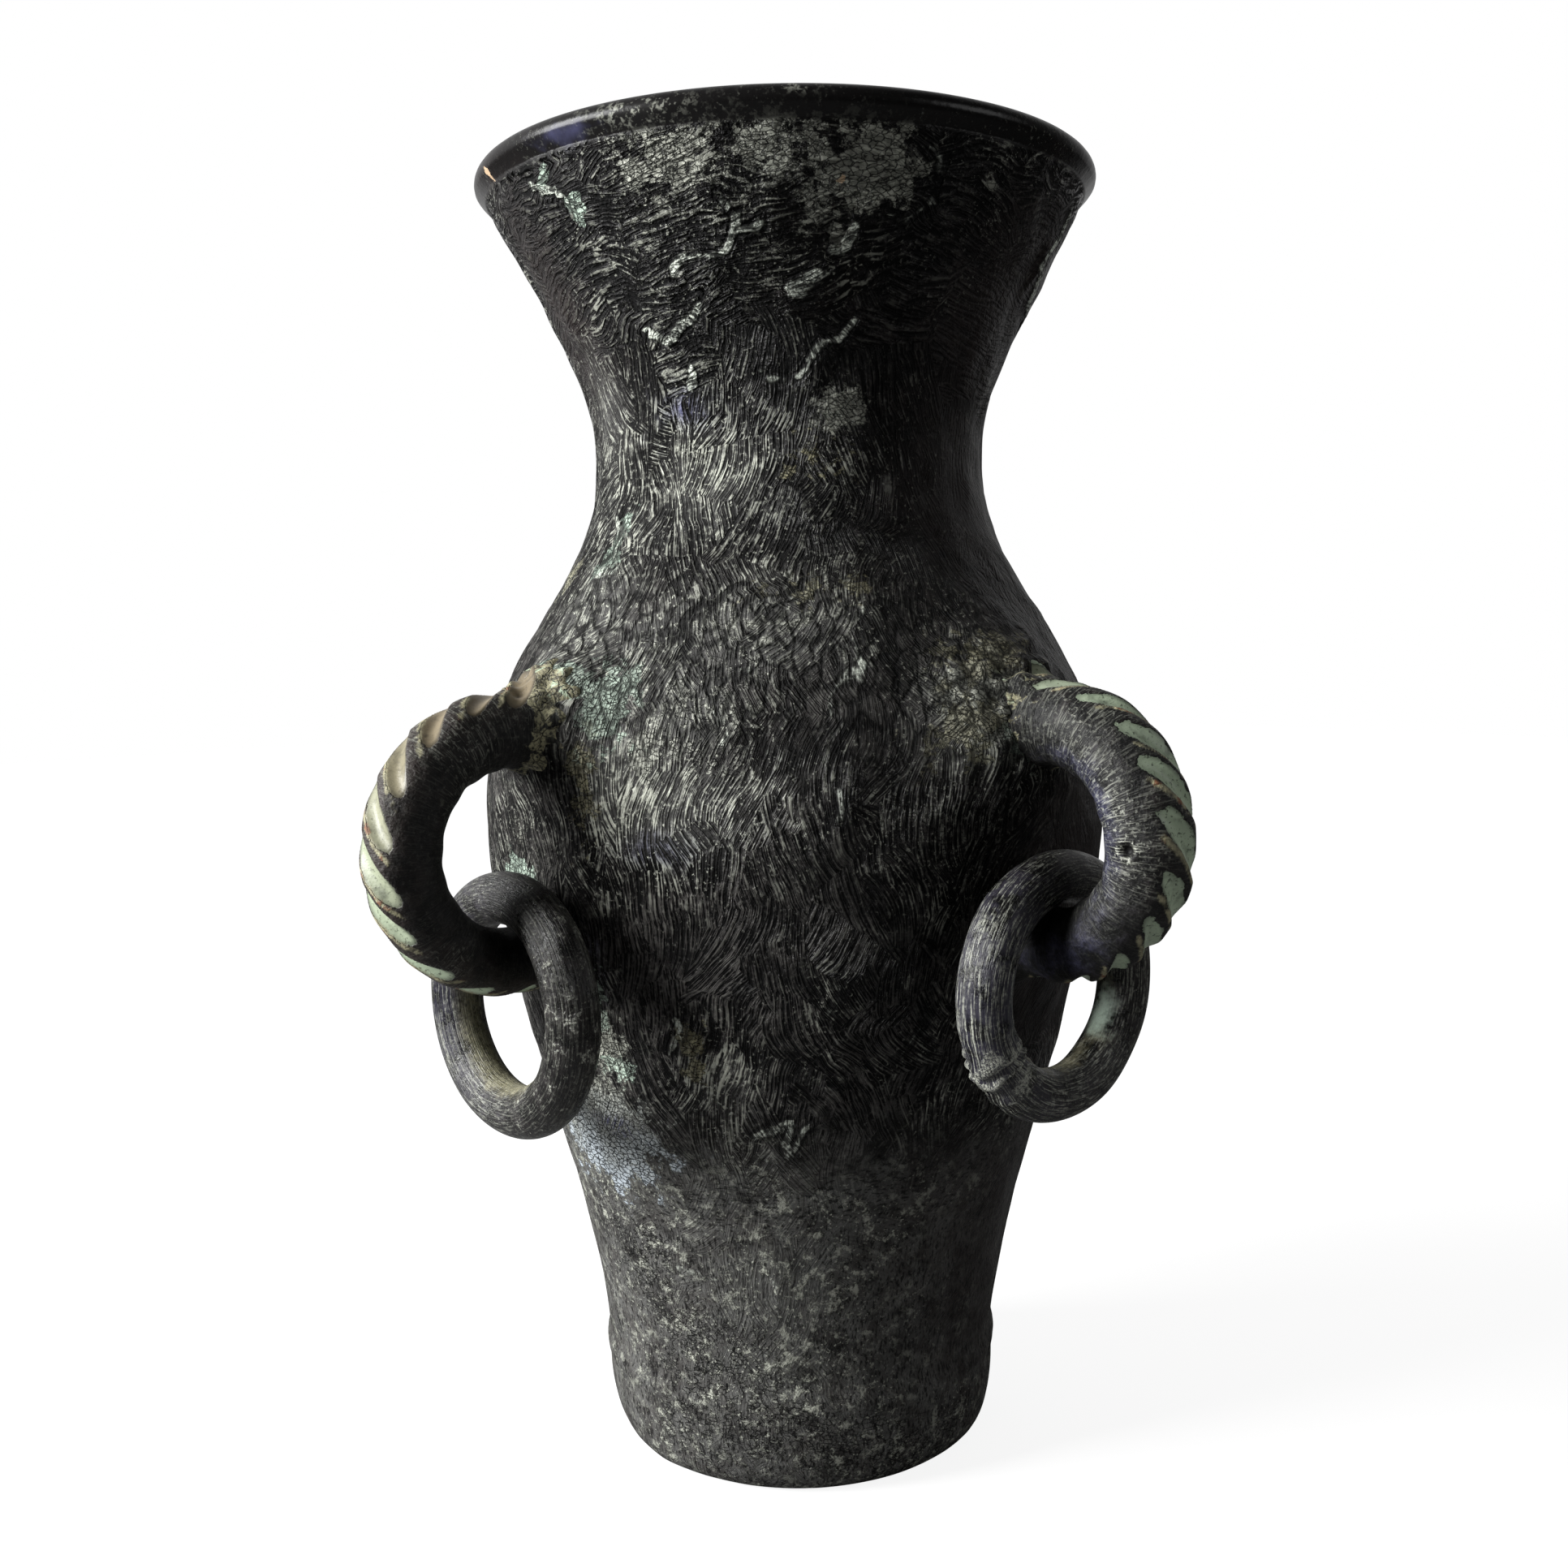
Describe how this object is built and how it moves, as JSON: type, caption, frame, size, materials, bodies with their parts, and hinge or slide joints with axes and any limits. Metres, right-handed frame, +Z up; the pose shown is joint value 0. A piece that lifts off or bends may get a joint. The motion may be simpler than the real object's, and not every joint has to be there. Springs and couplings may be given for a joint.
{
  "type": "terracotta amphora",
  "caption": "Tall thrown vase with a flared mouth, narrow foot and rope-twisted loop handles on its belly, each holding a loose ring that swings.",
  "frame": {"origin": "centre of the foot's flat underside", "axes": "+Z up along the vessel's axis; the handles stand on the X and Y axes, the two front ones on +X and -Y"},
  "size_m": [0.2724, 0.2734, 0.36],
  "materials": {
    "vessel_patina": "brushed charcoal paint with crackle and dry-brushed grey-green highlights over terracotta",
    "handle_patina": "charcoal paint, with taupe to mint worn into the pressed scoops",
    "ring_patina": "charcoal paint with lengthwise streaks and olive-beige rubbed patches"
  },
  "bodies": {
    "vase": {"vessel": "vessel_patina", "handle_front_left": "handle_patina", "handle_front_right": "handle_patina", "handle_back_right": "handle_patina", "handle_back_left": "handle_patina"},
    "front_left_ring": {"ring_front_left": "ring_patina"},
    "front_right_ring": {"ring_front_right": "ring_patina"},
    "back_right_ring": {"ring_back_right": "ring_patina"},
    "back_left_ring": {"ring_back_left": "ring_patina"}
  },
  "joints": [
    {"name": "front_left_ring_swing", "type": "hinge", "parent": "vase", "child": "front_left_ring", "pos_m": [0, -0.0979, 0.1669], "axis": [-1, 0, 0], "range_deg": [-13, 130]},
    {"name": "front_right_ring_swing", "type": "hinge", "parent": "vase", "child": "front_right_ring", "pos_m": [0.0979, 0, 0.1716], "axis": [0, -1, 0], "range_deg": [-13, 130]},
    {"name": "back_right_ring_swing", "type": "hinge", "parent": "vase", "child": "back_right_ring", "pos_m": [0, 0.0979, 0.1696], "axis": [1, 0, 0], "range_deg": [-13, 130]},
    {"name": "back_left_ring_swing", "type": "hinge", "parent": "vase", "child": "back_left_ring", "pos_m": [-0.0979, 0, 0.1696], "axis": [0, 1, 0], "range_deg": [-13, 130]}
  ]
}
